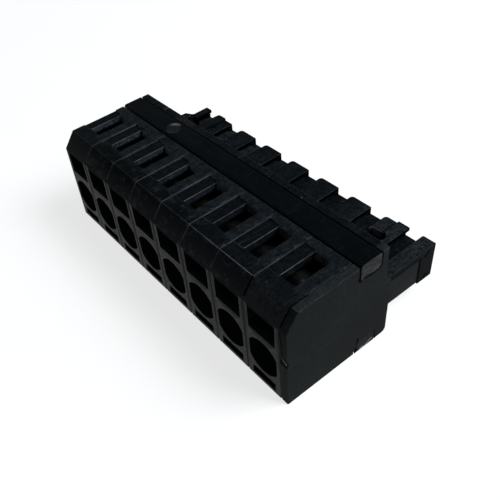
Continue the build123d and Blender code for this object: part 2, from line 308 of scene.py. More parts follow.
def make_scratches():
    """Faint hair scratches that run mostly from front to back."""
    tree, given, result = new_group(
        "scratches", [("Place", "Vector", None), ("Density", "Float", 0.5)], [("Mask", "Float")]
    )
    turned = node(tree, "Mapping", {"Vector": given["Place"], "Rotation": (0.0, 0.0, 0.09)}).outputs[0]
    stretched = scaled(tree, turned, (7.0, 0.35, 7.0))
    hairs = noise(tree, stretched, 1.0, 2.0, 0.6)
    thin = ramp(tree, hairs, 0.60, 0.72)
    patches = noise(tree, given["Place"], 0.45, 2.0)
    shown = ramp(tree, patches, maths(tree, "SUBTRACT", 0.8, given["Density"]), 0.75)
    tree.links.new(maths(tree, "MULTIPLY", thin, shown), result["Mask"])
    return tree


block_place = make_block_place()
mould_grain = make_mould_grain()
worn_and_highlit_edges = make_worn_and_highlit_edges()
specks = make_specks()
scratches = make_scratches()

# Tones, as linear red, green and blue
SCRATCHED = (0.05, 0.052, 0.056)
# Pale rounded edges: rubbed wear, partly a painted highlight
WORN_AND_HIGHLIT = (0.085, 0.085, 0.088)
DUST = (0.17, 0.17, 0.165)
SKIN_DARK, SKIN_LIGHT = (0.0013, 0.0026, 0.0036), (0.0036, 0.0054, 0.0068)
HANDLED = (0.0066, 0.0092, 0.0118)
LEDGE = (0.0012, 0.0026, 0.0036)
SMEARED = (0.0260, 0.0285, 0.0310)
BESIDE_GATE = (0.0072, 0.0076, 0.0082)
PALE_PLUG = (0.0105, 0.0135, 0.0160)
# Painted light and shade on the far walls of the top pockets, and painted light on their rear walls
FAR_SLATE_PAINTED_LIGHT, NEAR_SLATE_PAINTED_SHADE = (0.026, 0.031, 0.043), (0.0035, 0.0050, 0.0068)
FAR_REAR_WALL_PAINTED_LIGHT, NEAR_REAR_WALL_PAINTED_LIGHT = (0.120, 0.132, 0.140), (0.040, 0.038, 0.033)
# Painted light: the pale of the front-facing walls in the plug's slots
SLOT_WALL_PAINTED_LIGHT = (0.085, 0.092, 0.105)
# Painted shade on the front face beside the seams
FRONT_MARGIN_PAINTED_SHADE = (0.0002, 0.0002, 0.0002)
TEAL_STAIN, VIOLET_STAIN = (0.0001, 0.0012, 0.0016), (0.0016, 0.0014, 0.0028)
GREY_STAIN = (0.0098, 0.0118, 0.0134)
LOW_STAIN, LOW_GREY = (0.0004, 0.0008, 0.0014), (0.0125, 0.0128, 0.0130)
UNSTAINED_DARK, UNSTAINED_LIGHT = (0.0040, 0.0050, 0.0048), (0.0066, 0.0076, 0.0073)
SLOPE_GREY = (0.0150, 0.0152, 0.0172)
PLATE_DARK, PLATE_LIGHT = (0.0054, 0.0076, 0.0080), (0.0074, 0.0098, 0.0102)
# Painted shade, low towards the rear of the end plate
PLATE_LOW_REAR_PAINTED_SHADE = (0.0026, 0.0044, 0.0044)
PLATE_TOP_DARK, PLATE_TOP_LIGHT = (0.0095, 0.0125, 0.0138), (0.0160, 0.0200, 0.0215)
BAR_DARK, BAR_LIGHT = (0.0004, 0.0009, 0.0013), (0.0016, 0.0026, 0.0034)
GATE_DISC = (0.0076, 0.0090, 0.0122)
# Painted highlight on the gate mark's rim, bright on one side and faint opposite
GATE_RIM_PAINTED_HIGHLIGHT, GATE_RIM_FAINT_PAINTED_HIGHLIGHT = (0.13, 0.135, 0.145), (0.042, 0.044, 0.052)
CUT_DARK, CUT_LIGHT = (0.008, 0.009, 0.010), (0.048, 0.050, 0.052)
LOW_CUT = (0.002, 0.003, 0.003)
# Painted shade: the near black of the insides of the openings and recesses
PAINTED_SHADE_DARK, PAINTED_SHADE_LIGHT = (0.0001, 0.0001, 0.0001), (0.0005, 0.0006, 0.0006)
PAINTED_SHADE_GREEN = (0.0040, 0.0065, 0.0050)
# Pale seam lines high on the slopes: partly rubbed, partly a painted highlight
RUBBED_AND_HIGHLIT_DARK, RUBBED_AND_HIGHLIT_LIGHT = (0.014, 0.015, 0.016), (0.058, 0.059, 0.060)
RUBBED_LOW = (0.16, 0.165, 0.17)
PLUG_SIDE_DARK, PLUG_SIDE_LIGHT = (0.0030, 0.0043, 0.0041), (0.0067, 0.0089, 0.0086)
OVER_OPENING = (0.0100, 0.0105, 0.0125)


# Materials
def finish_plastic(tree, shader, tone, grain, edge, speck, scratch, roughness, bump, uneven=0.25):
    """Put the shared effects over a plastic's own tone.

    grain is a size and a contrast, edge the amount of pale edges, partly wear and partly a painted highlight,
    and their strength, speck a spacing, a size and a share, and scratch a density and a strength. uneven is
    how far the roughness follows the grain."""
    where = use_group(tree, block_place)["Place"]
    grained = use_group(tree, mould_grain, {"Place": where, "Grain Size": grain[0], "Contrast": grain[1]})
    edges = use_group(tree, worn_and_highlit_edges, {"Place": where, "Amount": edge[0]})
    dust = use_group(tree, specks, {"Place": where, "Spacing": speck[0], "Size": speck[1], "Share": speck[2]})
    hairs = use_group(tree, scratches, {"Place": where, "Density": scratch[0]})
    shaded = brightened(tree, tone, grained["Shade"])
    lined = blend(tree, maths(tree, "MULTIPLY", hairs["Mask"], scratch[1]), shaded, SCRATCHED)
    # Pale edges, partly rubbed wear and partly a painted highlight
    rubbed = blend(tree, maths(tree, "MULTIPLY", edges["Mask"], edge[1]), lined, WORN_AND_HIGHLIT)
    tree.links.new(blend(tree, dust["Mask"], rubbed, DUST), shader.inputs["Base Color"])
    rough = maths(tree, "MULTIPLY_ADD", maths(tree, "SUBTRACT", grained["Shade"], 1.0), uneven, roughness)
    rough = maths(tree, "MULTIPLY_ADD", edges["Mask"], -0.05, rough)
    tree.links.new(rough, shader.inputs["Roughness"])
    raised = node(tree, "Bump", {"Strength": bump, "Distance": 0.01 * MM, "Height": grained["Height"]})
    tree.links.new(raised.outputs[0], shader.inputs["Normal"])


def facing_parts(tree):
    """The x, y and z of the direction that the surface faces."""
    return split(tree, node(tree, "NewGeometry").outputs["True Normal"])


def towards(tree, facing, axis, limit):
    """1 where the surface faces along an axis, 0 or 1 or 2 for x, y or z, or against it."""
    if limit < 0:
        return maths(tree, "LESS_THAN", facing[axis], limit)
    return maths(tree, "GREATER_THAN", facing[axis], limit)


def handled_tops(tree, where):
    """The parts of the top faces that fingers and tools have rubbed grey."""
    streaky = noise(tree, scaled(tree, where["Place"], (2.6, 0.5, 2.6)), 1.0, 3.0, 0.6)
    beside = times(
        tree,
        band(tree, where["Across"], 3.7, 4.9, 0.3),
        band(tree, where["Back"], POCKET_FRONT, GROOVE_FRONT, 0.4),
    )
    behind = band(tree, where["Back"], GROOVE_FRONT - 1.0, GROOVE_FRONT, 0.3)
    rubbed = maths(tree, "MAXIMUM", beside, behind)
    level = ramp(tree, where["Height"], 12.7, 12.85)
    return times(tree, rubbed, level, ramp(tree, streaky, 0.25, 0.65, 0.35, 1.0))


def pocket_ledges(tree, where, up):
    """The sunk ledges beside the top pockets, but for the last one."""
    return times(
        tree,
        up,
        band(tree, where["Across"], 0.1, 1.45, 0.05),
        band(tree, where["Back"], 3.4, POCKET_REAR, 0.05),
        band(tree, where["Height"], 12.6, 12.9, 0.02),
        ramp(tree, where["Along"], 37.0, 35.0),
    )


def seam_smears(tree, where, up):
    """Pale smears along the seams on top."""
    past_seam = band(tree, where["Across"], -0.1, 0.1, 0.25)
    before_seam = band(tree, where["Across"], 4.95, 5.2, 0.35)
    blots = noise(tree, scaled(tree, where["Place"], (1.6, 0.9, 1.0)), 1.3, 4.0, 0.65)
    return times(
        tree,
        up,
        maths(tree, "MAXIMUM", past_seam, before_seam),
        ramp(tree, blots, 0.45, 0.7),
        band(tree, where["Back"], 1.6, 9.0, 0.3),
        ramp(tree, where["Height"], 12.8, 12.9),
    )


def stained_tops(tree, where, up):
    """Where the stains of the front slope run on over the edge of the top."""
    ragged = noise(tree, where["Place"], 0.55, 4.0, 0.6)
    reach = maths(tree, "MULTIPLY_ADD", ragged, -3.2, where["Back"])
    return times(
        tree,
        up,
        ramp(tree, reach, 1.45, 1.2),
        ramp(tree, where["Height"], 12.7, 12.85),
        ramp(tree, where["Along"], 32.0, 24.0),
        ramp(tree, where["Along"], 4.6, 5.1),
    )


def stained_tone(tree, where):
    """Teal, violet and grey patches, greyer low on the front slope, and none on the end poles."""
    patches = noise(tree, where["Place"], 1.0, 5.0, 0.7)
    hues = noise(tree, scaled(tree, where["Place"], (1.0, 1.3, 0.8)), 0.5, 3.0, 0.6)
    teal_or_violet = blend(tree, ramp(tree, hues, 0.52, 0.62), TEAL_STAIN, VIOLET_STAIN)
    mixed = blend(tree, ramp(tree, patches, 0.52, 0.68), teal_or_violet, GREY_STAIN)
    low = blend(tree, ramp(tree, patches, 0.46, 0.62), LOW_STAIN, LOW_GREY)
    mixed = blend(tree, ramp(tree, where["Height"], 11.7, 11.3), mixed, low)
    even = blend(tree, patches, UNSTAINED_DARK, UNSTAINED_LIGHT)
    last_pole = ramp(tree, where["Along"], 35.4, 35.7)
    first_pole = ramp(tree, where["Along"], 5.2, 4.9)
    return blend(tree, maths(tree, "MAXIMUM", last_pole, first_pole), mixed, even)


def behind_gate(tree, where):
    """The collar's top beside the gate mark."""
    away = distance(tree, scaled(tree, where["Place"], (1, 0.8, 0)), (9.2, 10.7, 0))
    return times(
        tree,
        ramp(tree, away, 2.4, 1.2),
        ramp(tree, where["Back"], 12.3, 12.4),
        ramp(tree, where["Height"], 12.8, 12.9),
    )


def paler_plug(tree, where, up, cloudy):
    """The last ribs of the plug part, and the floors of its first slots."""
    on_plug = times(tree, up, ramp(tree, where["Back"], PLUG_FRONT, 14.4))
    last_ribs = times(
        tree, on_plug, ramp(tree, where["Height"], 6.3, 6.5), ramp(tree, where["Along"], 29.0, 35.0)
    )
    first_slots = times(
        tree, on_plug, ramp(tree, where["Height"], 6.3, 6.1), ramp(tree, where["Along"], 20.0, 12.0)
    )
    paler = maths(tree, "MAXIMUM", last_ribs, first_slots)
    return times(tree, paler, ramp(tree, cloudy, 0.2, 0.6, 0.5, 1.0))


def with_painted_pocket_light(tree, where, facing, tone):
    """Painted light and shade on the walls of the top pockets, over a tone: the far wall painted slate near
    its top, lit at the far poles and shaded at the near ones, and the rear wall painted paler as if lit.
    """
    in_pocket = times(
        tree,
        band(tree, where["Back"], POCKET_FRONT, POCKET_REAR, 0.05),
        band(tree, where["Height"], 11.7, 12.9, 0.05),
    )
    far_wall = times(
        tree, in_pocket, towards(tree, facing, 0, 0.8), ramp(tree, where["Height"], 12.05, 12.2)
    )
    slate = blend(tree, ramp(tree, where["Along"], 2.0, 34.0), FAR_SLATE_PAINTED_LIGHT, NEAR_SLATE_PAINTED_SHADE)
    tone = blend(tree, far_wall, tone, slate)
    rear_wall = times(tree, in_pocket, towards(tree, facing, 1, -0.8))
    rear = blend(tree, ramp(tree, where["Along"], 16.0, 26.0), FAR_REAR_WALL_PAINTED_LIGHT, NEAR_REAR_WALL_PAINTED_LIGHT)
    return blend(tree, rear_wall, tone, rear)


def with_painted_ledge_highlight(tree, where, facing, tone):
    """Painted highlight on the low step at the rear of each ledge, over a tone: pale in short dashes."""
    ledge_end = times(
        tree,
        band(tree, where["Back"], POCKET_REAR, 8.2, 0.02),
        band(tree, where["Height"], 12.72, 12.93, 0.02),
        towards(tree, facing, 1, -0.8),
    )
    dashes = ramp(tree, noise(tree, where["Place"], 1.6, 2.0), 0.42, 0.6, 0.008, 0.09)
    dashed = node(tree, "CombineXYZ", {0: dashes, 1: dashes, 2: dashes}).outputs[0]
    return blend(tree, ledge_end, tone, dashed)


def make_matt_plastic():
    """The housings: near black, greyer where it is handled, with painted light and shade in the pockets, on
    the plug's slot walls and beside the front seams.
    """
    material, tree, shader = new_material("matt_black_plastic", (0.004, 0.005, 0.006), 0.46, level=0.08)
    where = use_group(tree, block_place)
    facing = facing_parts(tree)
    up = towards(tree, facing, 2, 0.9)
    cloudy = noise(tree, where["Place"], 0.8, 4.0, 0.6)
    base = blend(tree, ramp(tree, cloudy, 0.35, 0.7), SKIN_DARK, SKIN_LIGHT)
    tone = blend(tree, handled_tops(tree, where), base, HANDLED)
    tone = blend(tree, pocket_ledges(tree, where, up), tone, LEDGE)
    tone = blend(tree, seam_smears(tree, where, up), tone, SMEARED)
    tone = blend(tree, stained_tops(tree, where, up), tone, stained_tone(tree, where))
    tone = blend(tree, behind_gate(tree, where), tone, BESIDE_GATE)
    tone = blend(tree, paler_plug(tree, where, up, cloudy), tone, PALE_PLUG)
    tone = with_painted_pocket_light(tree, where, facing, tone)
    # Painted light: the walls in the plug's slots that face the front are painted pale as if lit
    painted_slot_wall_light = times(
        tree,
        towards(tree, facing, 1, -0.4),
        ramp(tree, where["Back"], 14.4, 14.5),
        ramp(tree, where["Height"], 5.88, 5.95),
    )
    tone = blend(tree, painted_slot_wall_light, tone, SLOT_WALL_PAINTED_LIGHT)
    tone = with_painted_ledge_highlight(tree, where, facing, tone)

    # Painted shade: the front face is darker beside the seam of each nearer pole
    painted_margin_shade = times(
        tree,
        towards(tree, facing, 1, -0.9),
        band(tree, where["Across"], 0.0, 0.5, 0.15),
        ramp(tree, where["Along"], 20.0, 34.0),
    )
    tone = blend(tree, painted_margin_shade, tone, FRONT_MARGIN_PAINTED_SHADE)
    finish_plastic(
        tree, shader, tone, grain=(0.17, 1.0), edge=(0.5, 0.5), speck=(0.8, 0.055, 0.32),
        scratch=(0.5, 0.35), roughness=0.46, bump=0.6, uneven=0.12,
    )
    return material


def make_stained_plastic():
    """The front slopes, under their stains."""
    material, tree, shader = new_material("stained_black_plastic", (0.006, 0.006, 0.006), 0.5, level=0.021)
    where = use_group(tree, block_place)
    nearer = ramp(tree, where["Along"], 5.1, 33.0, 1.9, 3.4)
    tone = brightened(tree, stained_tone(tree, where), nearer)
    tone = blend(tree, ramp(tree, where["Along"], 10.0, 28.0, 0.0, 0.42), tone, SLOPE_GREY)
    finish_plastic(
        tree, shader, tone, grain=(0.14, 0.9), edge=(0.5, 0.5), speck=(0.9, 0.05, 0.2),
        scratch=(0.5, 0.3), roughness=0.5, bump=0.5,
    )
    return material


def make_grained_plastic():
    """The end plate: an even dark grey with a matter grain, rubbed in streaks on top, and with painted shade
    low towards the rear.
    """
    material, tree, shader = new_material("grained_black_plastic", (0.008, 0.009, 0.009), 0.62, level=0.040)
    where = use_group(tree, block_place)
    cloudy = noise(tree, where["Place"], 0.3, 3.0, 0.55)
    tone = blend(tree, ramp(tree, cloudy, 0.3, 0.7), PLATE_DARK, PLATE_LIGHT)
    # Painted shade, low and towards the rear of the end
    painted_low_rear_shade = times(
        tree,
        ramp(tree, where["Back"], 2.0, 12.0),
        ramp(tree, where["Height"], 9.0, 4.0),
        ramp(tree, where["Back"], PLUG_FRONT, 14.0),
    )
    tone = blend(tree, painted_low_rear_shade, tone, PLATE_LOW_REAR_PAINTED_SHADE)
    streaks = noise(tree, scaled(tree, where["Place"], (3.0, 0.9, 1.0)), 1.2, 4.0, 0.7)
    rubbed = blend(tree, ramp(tree, streaks, 0.3, 0.7), PLATE_TOP_DARK, PLATE_TOP_LIGHT)
    up = towards(tree, facing_parts(tree), 2, 0.9)
    tone = blend(tree, up, tone, rubbed)
    contrast = maths(tree, "MULTIPLY_ADD", up, -0.7, 1.1)
    finish_plastic(
        tree, shader, tone, grain=(0.13, contrast), edge=(0.5, 0.45), speck=(2.4, 0.05, 0.12),
        scratch=(0.35, 0.12), roughness=0.62, bump=0.8, uneven=0.06,
    )
    return material


def with_gate_mark(tree, where, tone):
    """The gate's disc over a tone, with a painted highlight on its rim that is bright on the rear left and
    dim opposite.
    """
    away = distance(tree, scaled(tree, where["Place"], (1, 1, 0)), (*GATE_CENTRE, 0))
    on_top = ramp(tree, where["Height"], 12.0, 12.5)
    disc = times(tree, on_top, ramp(tree, away, GATE_RADIUS - 0.02, GATE_RADIUS - 0.08))
    tone = blend(tree, disc, tone, GATE_DISC)
    centre = (*GATE_CENTRE, BLOCK_TOP)
    from_centre = node(tree, "VectorMath", {0: where["Place"], 1: centre}, operation="SUBTRACT").outputs[0]
    rear_left = (-0.62, 0.78, 0)
    side = node(tree, "VectorMath", {0: from_centre, 1: rear_left}, operation="DOT_PRODUCT").outputs[1]
    rim = times(tree, on_top, band(tree, away, GATE_RADIUS - 0.16, GATE_RADIUS + 0.06, 0.06))
    tone = blend(tree, times(tree, rim, ramp(tree, side, 0.55, 0.95)), tone, GATE_RIM_PAINTED_HIGHLIGHT)
    return blend(tree, times(tree, rim, ramp(tree, side, -0.5, -1.0)), tone, GATE_RIM_FAINT_PAINTED_HIGHLIGHT)


def make_smooth_plastic():
    """The tie bars: darker and glossier, with a few specks."""
    material, tree, shader = new_material("smooth_black_plastic", (0.002, 0.003, 0.0035), 0.28, level=0.08)
    where = use_group(tree, block_place)
    cloudy = noise(tree, scaled(tree, where["Place"], (0.25, 0.9, 0.9)), 1.0, 3.0, 0.6)
    tone = blend(tree, ramp(tree, cloudy, 0.3, 0.7), BAR_DARK, BAR_LIGHT)
    tone = with_gate_mark(tree, where, tone)
    finish_plastic(
        tree, shader, tone, grain=(0.3, 0.2), edge=(0.6, 0.35), speck=(1.1, 0.06, 0.12),
        scratch=(0.4, 0.3), roughness=0.3, bump=0.12,
    )
    return material


def make_cut_plastic():
    """The ends of the tie bars, left pale and streaked where they were cut off."""
    material, tree, shader = new_material("cut_black_plastic", (0.02, 0.02, 0.02), 0.5, level=0.035)
    where = use_group(tree, block_place)
    streaks = noise(tree, scaled(tree, where["Place"], (1.0, 0.6, 4.0)), 1.2, 4.0, 0.7)
    tone = blend(tree, ramp(tree, streaks, 0.4, 0.66), CUT_DARK, CUT_LIGHT)
    tone = blend(tree, ramp(tree, where["Height"], 6.0, 5.0), tone, LOW_CUT)
    finish_plastic(
        tree, shader, tone, grain=(0.12, 0.6), edge=(0.7, 0.6), speck=(0.8, 0.05, 0.3),
        scratch=(0.6, 0.4), roughness=0.5, bump=0.8,
    )
    return material


def make_painted_shade_plastic():
    """Painted shade: a near black for the insides of the openings and recesses, where light hardly reaches,
    for the walls under the plug's ribs and for the dark joints, greenish in the front part of the chambers.
    """
    material, tree, shader = new_material("painted_shade_black_plastic", (0.0004, 0.0004, 0.0004), 0.7, level=0.01)
    where = use_group(tree, block_place)
    tone = blend(tree, noise(tree, where["Place"], 1.5, 2.0), PAINTED_SHADE_DARK, PAINTED_SHADE_LIGHT)
    greenish = times(
        tree,
        ramp(tree, where["Back"], GROOVE_FRONT, 9.0),
        ramp(tree, where["Back"], 0.05, 0.1),
        ramp(tree, where["Height"], 11.2, 11.1),
    )
    tree.links.new(blend(tree, greenish, tone, PAINTED_SHADE_GREEN), shader.inputs["Base Color"])
    return material


def make_dull_plastic():
    """The narrow faces above the openings and the side of the plug, duller than the rest."""
    material, tree, shader = new_material("dull_black_plastic", (0.005, 0.005, 0.006), 0.7, level=0.02)
    where = use_group(tree, block_place)
    cloudy = noise(tree, where["Place"], 0.6, 4.0, 0.6)
    low = blend(tree, ramp(tree, cloudy, 0.3, 0.7), PLUG_SIDE_DARK, PLUG_SIDE_LIGHT)
    tone = blend(tree, ramp(tree, where["Height"], 9.0, 10.0), low, OVER_OPENING)
    finish_plastic(
        tree, shader, tone, grain=(0.12, 0.8), edge=(0.5, 0.4), speck=(1.0, 0.06, 0.2),
        scratch=(0.4, 0.2), roughness=0.7, bump=0.6,
    )
    return material


def make_rubbed_and_highlit_plastic():
    """The plastic where it is rubbed or torn pale; high up on the slope seams its pale is partly wear and
    partly a painted highlight.
    """
    material, tree, shader = new_material("rubbed_and_highlit_black_plastic", (0.03, 0.03, 0.03), 0.5, level=0.06)
    where = use_group(tree, block_place)
    patchy = noise(tree, where["Place"], 1.1, 3.0, 0.6)
    tone = blend(tree, ramp(tree, patchy, 0.35, 0.65), RUBBED_AND_HIGHLIT_DARK, RUBBED_AND_HIGHLIT_LIGHT)
    tone = blend(tree, ramp(tree, where["Height"], 8.0, 7.5), tone, RUBBED_LOW)
    tree.links.new(tone, shader.inputs["Base Color"])
    return material


def make_metal(name, dark, light, roughness, stretch):
    """Rolled strip, with its brushed lines and a little tarnish."""
    material, tree, shader = new_material(name, light, roughness, metallic=1.0)
    where = use_group(tree, block_place)
    lines = noise(tree, scaled(tree, where["Place"], stretch), 6.0, 3.0, 0.6)
    stain = noise(tree, where["Place"], 0.9, 4.0, 0.6)
    amount = maths(tree, "MULTIPLY_ADD", lines, 0.5, maths(tree, "MULTIPLY", stain, 0.5))
    tone = blend(tree, ramp(tree, amount, 0.3, 0.7), dark, light)
    tree.links.new(tone, shader.inputs["Base Color"])
    tree.links.new(maths(tree, "MULTIPLY_ADD", lines, 0.2, roughness), shader.inputs["Roughness"])
    raised = node(tree, "Bump", {"Strength": 0.25, "Distance": 0.01 * MM, "Height": lines})
    tree.links.new(raised.outputs[0], shader.inputs["Normal"])
    return material


matt_plastic = make_matt_plastic()
grained_plastic = make_grained_plastic()
smooth_plastic = make_smooth_plastic()
cut_plastic = make_cut_plastic()
painted_shade_plastic = make_painted_shade_plastic()
dull_plastic = make_dull_plastic()
rubbed_and_highlit_plastic = make_rubbed_and_highlit_plastic()
stained_plastic = make_stained_plastic()
spring_steel = make_metal(
    "spring_steel", dark=(0.060, 0.064, 0.066), light=(0.300, 0.305, 0.310),
    roughness=0.20, stretch=(8.0, 1.0, 1.0),
)
tinned_copper = make_metal(
    "tinned_copper", dark=(0.30, 0.29, 0.27), light=(0.62, 0.61, 0.58),
    roughness=0.3, stretch=(1.0, 8.0, 8.0),
)


# Pieces
def measured(point):
    """A mesh point as x along the row, y back from the front face and z up, in millimetres."""
    return (point - CORNER) / MM


def middle_of(face):
    return measured(face.calc_center_median())


def ends_of(edge):
    return [measured(vert.co) for vert in edge.verts]


def divide_faces(form, cuts, kept_apart):
    """Cut faces by planes, and join every flat face again but for the parts kept apart."""
    for point, direction, divided in cuts:
        faces = [face for face in form.faces if divided(middle_of(face), face.normal)]
        parts = dict.fromkeys(part for face in faces for part in (face, *face.edges, *face.verts))
        bmesh.ops.bisect_plane(form, geom=list(parts), dist=0.0001 * MM, plane_co=point, plane_no=direction)
    for face in form.faces:
        face.material_index = kept_apart(middle_of(face), face.normal) if kept_apart else 0
    bmesh.ops.dissolve_limit(
        form,
        angle_limit=math.radians(FLAT_ANGLE),
        verts=form.verts,
        edges=form.edges,
        delimit={"MATERIAL"},
    )


def sink_floors(form, sunk):
    """Make the faces that the test picks the level floor of a recess."""
    floors = [face for face in form.faces if sunk(middle_of(face), face.normal)]
    if not floors:
        return
    made = bmesh.ops.extrude_face_region(form, geom=floors)["geom"]
    bmesh.ops.delete(form, geom=[face for face in floors if face.is_valid], context="FACES_ONLY")
    for vert in (part for part in made if isinstance(part, bmesh.types.BMVert)):
        vert.co.z = min(vert.co.z, place(0, 0, FAR_RECESS_FLOOR).z)


def round_edges(form, radii, sharp, wear_of):
    """Round the outer edges, and note how much wear and painted highlight each fine edge gets."""
    rounded = form.faces.layers.float.new("rounded")

    # Narrow slanting faces are edges that the solid itself has rounded
    for face in form.faces:
        length = max(edge.calc_length() for edge in face.edges)
        narrow = face.calc_area() < length * 0.15 * MM
        if narrow and 0.5 < max(abs(part) for part in face.normal) < 0.9:
            face[rounded] = wear_of(middle_of(face))
    for radius, is_corner in radii:
        picked = [
            edge
            for edge in form.edges
            if edge.is_manifold
            and edge.calc_face_angle_signed() > math.radians(SHARP_ANGLE)
            and (is_corner is None or is_corner(*ends_of(edge)))
            and not (sharp and sharp(*ends_of(edge)))
        ]
        if not picked:
            continue
        fine = radius < FINE_RADIUS
        made = bmesh.ops.bevel(
            form,
            geom=picked,
            offset=radius * MM,
            offset_type="OFFSET",
            segments=2 if fine else 5,
            profile=0.5,
            affect="EDGES",
            clamp_overlap=not fine,
        )
        if fine:
            for face in made["faces"]:
                face[rounded] = wear_of(middle_of(face))


def plain_wear_and_highlight(middle):
    return PLAIN_WEAR_AND_HIGHLIGHT


def softened(
    source, name, looks, corners=(), radius=EDGE_RADIUS, look_of=None, sharp=None,
    wear_of=plain_wear_and_highlight, cuts=(), kept_apart=None, shift=None, sunk=None,
):
    """A copy of a solid with rounded outer edges, shown in its place.

    corners gives other radii, each with a test for the edges that have it, and sharp is a
    test for the edges that stay sharp. look_of picks a face's material by its middle and
    its direction, and wear_of says how much wear and painted highlight a rounded edge gets.
    cuts are planes, each with a test for the faces that it divides, and kept_apart gives
    the parts of a flat face that stay faces of their own their number. shift says how far
    each point moves, and sunk is a test for the faces that become the floor of a recess."""
    form = bmesh.new()
    form.from_mesh(nodes[source].data)
    bmesh.ops.remove_doubles(form, verts=form.verts, dist=SAME_POINT * MM)
    if shift:
        for vert in form.verts:
            vert.co += Vector(shift(measured(vert.co))) * MM
    divide_faces(form, cuts, kept_apart)
    if sunk:
        sink_floors(form, sunk)
    round_edges(form, [*corners, (radius, None)], sharp, wear_of)
    low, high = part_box(source)
    for vert in form.verts:
        vert.co = [min(max(value, least), most) for value, least, most in zip(vert.co, low, high)]
    for face in form.faces:
        face.smooth = True
        if look_of:
            face.material_index = look_of(middle_of(face), face.normal)
    mesh = bpy.data.meshes.new(name)
    form.to_mesh(mesh)
    form.free()
    mesh.set_sharp_from_angle(angle=math.radians(SMOOTH_ANGLE))
    for look in looks:
        mesh.materials.append(look)
    piece = bpy.data.objects.new(name, mesh)
    bpy.context.scene.collection.objects.link(piece)
    piece.modifiers.new("flat_faces", "WEIGHTED_NORMAL").keep_sharp = True
    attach(piece, "root")
    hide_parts(source)


def rear_corner(first, second):
    """Whether an edge is a rear corner of a plug rib, on the side of the coding slot."""
    upright = abs(first.x - second.x) + abs(first.y - second.y) < NEAR
    at_slot = abs((first.x + NEAR) % PITCH - SLOT_END) < 0.06
    return upright and at_slot and first.y > DEPTH - 0.05 and max(first.z, second.z) > SLOT_FLOOR + 0.2


def front_line(height):
    """How far back the front slope is at a height."""
    return max(0.0, (height - FRONT_HEIGHT) * SLOPE_DEPTH / (BLOCK_TOP - FRONT_HEIGHT))


def slope_foot(first, second):
    """Whether an edge is the one between the front face and the slope."""
    return all(abs(end.y) < NEAR and abs(end.z - FRONT_HEIGHT) < NEAR for end in (first, second))


def pocket_edge(first, second):
    """Whether an edge is the long far edge at the top of a pocket."""
    return all(
        abs(end.x % PITCH - LEDGE_WIDTH) < NEAR and 3 < end.y < 8.3 and end.z > 12.7
        for end in (first, second)
    )


def at_seam(point):
    across = point.x % PITCH
    return across < NEAR or across > PITCH - NEAR


def seam_edge(first, second):
    """Whether an edge is a seam between two poles on top of the block."""
    return all(at_seam(end) and end.y < 9.4 and end.z > 12.9 for end in (first, second))


def close_joint(first, second):
    """Whether an edge lies in a joint that closes with no groove to be seen."""
    at_plate = all(abs(end.x - ROW_LENGTH) < NEAR for end in (first, second))
    behind = all(at_seam(end) and end.y > 9.2 and end.z > 2 for end in (first, second))
    return at_plate and max(first.y, second.y) > 0.05 or behind


def plate_foot(first, second):
    """Whether an edge is the lower rear corner of the end plate."""
    return all(abs(end.z) < 0.2 and 14 < end.y < 14.3 for end in (first, second))


# The looks of a housing's faces, in the order of its materials
# The second look is painted shade, for faces deep inside, in the recesses and under the ribs
SKIN, PAINTED_SHADE, DULL, STAINED = range(4)


def front_face(middle, direction):
    return direction.y < -0.9 and middle.y < 0.05


def over_openings(middle, direction):
    return front_face(middle, direction) and middle.z > OPENING_TOP


def slot_floor(middle, direction):
    return direction.z > 0.9 and middle.y > COLLAR_REAR and abs(middle.z - SLOT_FLOOR) < NEAR


def far_ramp(middle, direction):
    """Whether a face is the short ramp on the far end of the plug part."""
    on_end = middle.x < 2.1 and FAR_RECESS_FRONT < middle.y < 19.75
    return on_end and 0.5 < direction.z < 0.95 and direction.y > 0.3


def housing_parts(middle, direction):
    """The parts of flat faces with a look of their own: over an opening, or a recess's floor in painted
    shade.
    """
    across = middle.x % PITCH
    over_opening = middle.y < 0.35 and OPENING_TOP < middle.z < 11.3
    if over_opening and abs(across - PITCH / 2) < PITCH / 2 - OPENING_SIDE:
        return DULL
    along_recess = FAR_RECESS_LEFT < middle.x < FAR_RECESS_RIGHT
    if along_recess and middle.y < FAR_RECESS_REAR and far_ramp(middle, direction):
        return PAINTED_SHADE
    x, y = NEAR_RECESS_MIDDLE
    near_recess = abs(middle.x - x) < 1.34 and abs(middle.y - y) < 0.74
    return PAINTED_SHADE if near_recess and slot_floor(middle, direction) else SKIN


def recess_floor(middle, direction):
    return far_ramp(middle, direction) and housing_parts(middle, direction) == PAINTED_SHADE


def housing_cuts(start):
    """The cuts around those parts of a housing, which starts this far along the row."""
    along, back, up = Vector((1, 0, 0)), Vector((0, 1, 0)), Vector((0, 0, 1))
    return [
        (place(NEAR_RECESS_LEFT, 0, 0), along, slot_floor),
        (place(0, FAR_RECESS_REAR, 0), back, far_ramp),
        (place(FAR_RECESS_LEFT, 0, 0), along, far_ramp),
        (place(FAR_RECESS_RIGHT, 0, 0), along, far_ramp),
        (place(start, 0, OPENING_TOP), up, front_face),
        (place(start + OPENING_SIDE, 0, 0), along, over_openings),
        (place(start + PITCH - OPENING_SIDE, 0, 0), along, over_openings),
    ]


def housing_look(middle, direction):
    """The look of a housing's face."""
    part = housing_parts(middle, direction)
    if part != SKIN:
        return part
    if middle.y < SLOPE_DEPTH and middle.z > FRONT_HEIGHT and direction.y < -0.3 and direction.z > 0.3:
        return STAINED
    if middle.y > COLLAR_REAR:
        return plug_look(middle, direction)
    return PAINTED_SHADE if inside_openings(middle) else SKIN


